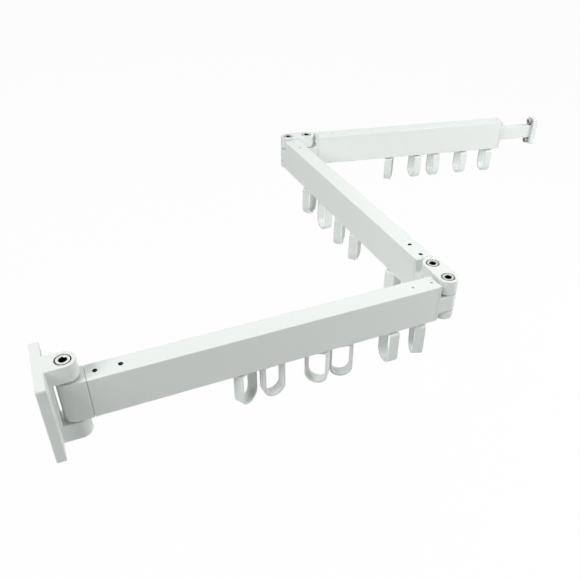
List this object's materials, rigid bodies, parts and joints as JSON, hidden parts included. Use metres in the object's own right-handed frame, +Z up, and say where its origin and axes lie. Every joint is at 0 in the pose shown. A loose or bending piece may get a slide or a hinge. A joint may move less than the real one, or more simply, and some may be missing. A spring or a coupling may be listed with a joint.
{
  "type": "wall mounted folding drying rack",
  "caption": "Three tube arms that fold side by side on vertical hinges from a wall bracket, with swivelling hanging rings on a track under each arm and a slide-out end rod.",
  "frame": {"origin": "centre of the wall plate's back face, on the wall", "axes": "+X straight out of the wall, along arm 1 at rest; +Z up, along the hinge pins; +Y along the wall"},
  "size_m": [0.7384, 0.4176, 0.1002],
  "materials": {
    "white_coat": "satin",
    "stainless": "satin",
    "black_oxide": "satin",
    "grey_polymer": "matte",
    "white_polymer": "satin"
  },
  "bodies": {
    "bracket": {"wall_bracket": "white_coat", "wall_hinge_screw": "stainless"},
    "arm_1": {"arm_1_tube": "white_coat", "arm_1_hinge_block": "white_coat", "arm_1_tongue": "white_coat", "wall_hinge_bushes": "grey_polymer", "arm_1_bushes": "grey_polymer", "arm_1_set_screws": "black_oxide"},
    "link_a": {"link_a": "white_coat", "link_a_screws": "stainless"},
    "arm_2": {"arm_2_tube": "white_coat", "arm_2_near_tongue": "white_coat", "arm_2_far_tongue": "white_coat", "arm_2_bushes": "grey_polymer", "arm_2_set_screws": "black_oxide"},
    "link_b": {"link_b": "white_coat", "link_b_screws": "stainless"},
    "arm_3": {"arm_3_tube": "white_coat", "arm_3_tongue": "white_coat", "arm_3_bushes": "grey_polymer", "arm_3_set_screws": "black_oxide", "arm_3_end_cap": "white_polymer"},
    "rod": {"slide_rod": "white_coat", "rod_shoe": "grey_polymer", "rod_screws": "stainless", "end_plate": "white_coat", "end_plate_screws": "stainless"},
    "runner_11": {"runner_11": "white_polymer"},
    "ring_11": {"ring_11": "white_coat"},
    "runner_12": {"runner_12": "white_polymer"},
    "ring_12": {"ring_12": "white_coat"},
    "runner_13": {"runner_13": "white_polymer"},
    "ring_13": {"ring_13": "white_coat"},
    "runner_14": {"runner_14": "white_polymer"},
    "ring_14": {"ring_14": "white_coat"},
    "runner_15": {"runner_15": "white_polymer"},
    "ring_15": {"ring_15": "white_coat"},
    "runner_16": {"runner_16": "white_polymer"},
    "ring_16": {"ring_16": "white_coat"},
    "runner_21": {"runner_21": "white_polymer"},
    "ring_21": {"ring_21": "white_coat"},
    "runner_22": {"runner_22": "white_polymer"},
    "ring_22": {"ring_22": "white_coat"},
    "runner_23": {"runner_23": "white_polymer"},
    "ring_23": {"ring_23": "white_coat"},
    "runner_24": {"runner_24": "white_polymer"},
    "ring_24": {"ring_24": "white_coat"},
    "runner_25": {"runner_25": "white_polymer"},
    "ring_25": {"ring_25": "white_coat"},
    "runner_31": {"runner_31": "white_polymer"},
    "ring_31": {"ring_31": "white_coat"},
    "runner_32": {"runner_32": "white_polymer"},
    "ring_32": {"ring_32": "white_coat"},
    "runner_33": {"runner_33": "white_polymer"},
    "ring_33": {"ring_33": "white_coat"},
    "runner_34": {"runner_34": "white_polymer"},
    "ring_34": {"ring_34": "white_coat"},
    "runner_35": {"runner_35": "white_polymer"},
    "ring_35": {"ring_35": "white_coat"}
  },
  "joints": [
    {"name": "wall_hinge", "type": "hinge", "parent": "bracket", "child": "arm_1", "pos_m": [0.023, 0, 0], "axis": [0, 0, -1], "range_deg": [-90, 90]},
    {"name": "link_a_hinge", "type": "hinge", "parent": "arm_1", "child": "link_a", "pos_m": [0.3747, 0, 0], "axis": [0, 0, 1], "range_deg": [-181, 0]},
    {"name": "arm_2_hinge", "type": "hinge", "parent": "link_a", "child": "arm_2", "pos_m": [0.37447, 0.0263, 0], "axis": [0, 0, 1], "range_deg": [-90.1, 88.9]},
    {"name": "link_b_hinge", "type": "hinge", "parent": "arm_2", "child": "link_b", "pos_m": [0.36773, 0.37763, 0], "axis": [0, 0, -1], "range_deg": [-199, 1]},
    {"name": "arm_3_hinge", "type": "hinge", "parent": "link_b", "child": "arm_3", "pos_m": [0.39377, 0.37402, 0], "axis": [0, 0, -1], "range_deg": [-83.3, 76.7]},
    {"name": "rod_slide", "type": "slide", "parent": "arm_3", "child": "rod", "axis": [0.981, -0.1942, 0], "range_m": [-0.044, 0.15]},
    {"name": "slide_11", "type": "slide", "parent": "arm_1", "child": "runner_11", "axis": [1, 0, 0], "range_m": [-0.119, 0.0016]},
    {"name": "swivel_11", "type": "hinge", "parent": "runner_11", "child": "ring_11", "pos_m": [0.16803, 0, -0.0233], "axis": [0, 0, 1], "continuous": true},
    {"name": "slide_12", "type": "slide", "parent": "arm_1", "child": "runner_12", "axis": [1, 0, 0], "range_m": [-0.0016, 0.0205]},
    {"name": "swivel_12", "type": "hinge", "parent": "runner_12", "child": "ring_12", "pos_m": [0.19411, 0, -0.0233], "axis": [0, 0, 1], "continuous": true},
    {"name": "slide_13", "type": "slide", "parent": "arm_1", "child": "runner_13", "axis": [1, 0, 0], "range_m": [-0.0205, 0.0005]},
    {"name": "swivel_13", "type": "hinge", "parent": "runner_13", "child": "ring_13", "pos_m": [0.2391, 0, -0.0233], "axis": [0, 0, 1], "continuous": true},
    {"name": "slide_14", "type": "slide", "parent": "arm_1", "child": "runner_14", "axis": [1, 0, 0], "range_m": [-0.0005, 0.0277]},
    {"name": "swivel_14", "type": "hinge", "parent": "runner_14", "child": "ring_14", "pos_m": [0.26387, 0, -0.0233], "axis": [0, 0, 1], "continuous": true},
    {"name": "slide_15", "type": "slide", "parent": "arm_1", "child": "runner_15", "axis": [1, 0, 0], "range_m": [-0.0277, 0.0074]},
    {"name": "swivel_15", "type": "hinge", "parent": "runner_15", "child": "ring_15", "pos_m": [0.31603, 0, -0.0233], "axis": [0, 0, 1], "continuous": true},
    {"name": "slide_16", "type": "slide", "parent": "arm_1", "child": "runner_16", "axis": [1, 0, 0], "range_m": [-0.0074, 0.001]},
    {"name": "swivel_16", "type": "hinge", "parent": "runner_16", "child": "ring_16", "pos_m": [0.34798, 0, -0.0233], "axis": [0, 0, 1], "continuous": true},
    {"name": "slide_21", "type": "slide", "parent": "arm_2", "child": "runner_21", "axis": [-0.0192, 0.9998, 0], "range_m": [-0.0379, 0.0625]},
    {"name": "swivel_21", "type": "hinge", "parent": "runner_21", "child": "ring_21", "pos_m": [0.37325, 0.08984, -0.0233], "axis": [0, 0, 1], "continuous": true},
    {"name": "slide_22", "type": "slide", "parent": "arm_2", "child": "runner_22", "axis": [-0.0192, 0.9998, 0], "range_m": [-0.0625, 0.0156]},
    {"name": "swivel_22", "type": "hinge", "parent": "runner_22", "child": "ring_22", "pos_m": [0.37158, 0.17687, -0.0233], "axis": [0, 0, 1], "continuous": true},
    {"name": "slide_23", "type": "slide", "parent": "arm_2", "child": "runner_23", "axis": [-0.0192, 0.9998, 0], "range_m": [-0.0156, 0.0176]},
    {"name": "swivel_23", "type": "hinge", "parent": "runner_23", "child": "ring_23", "pos_m": [0.37081, 0.21696, -0.0233], "axis": [0, 0, 1], "continuous": true},
    {"name": "slide_24", "type": "slide", "parent": "arm_2", "child": "runner_24", "axis": [-0.0192, 0.9998, 0], "range_m": [-0.0176, 0.0215]},
    {"name": "swivel_24", "type": "hinge", "parent": "runner_24", "child": "ring_24", "pos_m": [0.37, 0.25901, -0.0233], "axis": [0, 0, 1], "continuous": true},
    {"name": "slide_25", "type": "slide", "parent": "arm_2", "child": "runner_25", "axis": [-0.0192, 0.9998, 0], "range_m": [-0.0215, 0.047]},
    {"name": "swivel_25", "type": "hinge", "parent": "runner_25", "child": "ring_25", "pos_m": [0.36912, 0.30496, -0.0233], "axis": [0, 0, 1], "continuous": true},
    {"name": "slide_31", "type": "slide", "parent": "arm_3", "child": "runner_31", "axis": [0.981, -0.1942, 0], "range_m": [-0.1001, 0.0153]},
    {"name": "swivel_31", "type": "hinge", "parent": "runner_31", "child": "ring_31", "pos_m": [0.5172, 0.34958, -0.0233], "axis": [0, 0, 1], "continuous": true},
    {"name": "slide_32", "type": "slide", "parent": "arm_3", "child": "runner_32", "axis": [0.981, -0.1942, 0], "range_m": [-0.0153, 0.0046]},
    {"name": "swivel_32", "type": "hinge", "parent": "runner_32", "child": "ring_32", "pos_m": [0.5562, 0.34186, -0.0233], "axis": [0, 0, 1], "continuous": true},
    {"name": "slide_33", "type": "slide", "parent": "arm_3", "child": "runner_33", "axis": [0.981, -0.1942, 0], "range_m": [-0.0046, 0.0186]},
    {"name": "swivel_33", "type": "hinge", "parent": "runner_33", "child": "ring_33", "pos_m": [0.58477, 0.3362, -0.0233], "axis": [0, 0, 1], "continuous": true},
    {"name": "slide_34", "type": "slide", "parent": "arm_3", "child": "runner_34", "axis": [0.981, -0.1942, 0], "range_m": [-0.0186, 0.0153]},
    {"name": "swivel_34", "type": "hinge", "parent": "runner_34", "child": "ring_34", "pos_m": [0.62707, 0.32783, -0.0233], "axis": [0, 0, 1], "continuous": true},
    {"name": "slide_35", "type": "slide", "parent": "arm_3", "child": "runner_35", "axis": [0.981, -0.1942, 0], "range_m": [-0.0153, 0.0021]},
    {"name": "swivel_35", "type": "hinge", "parent": "runner_35", "child": "ring_35", "pos_m": [0.66607, 0.3201, -0.0233], "axis": [0, 0, 1], "continuous": true}
  ]
}
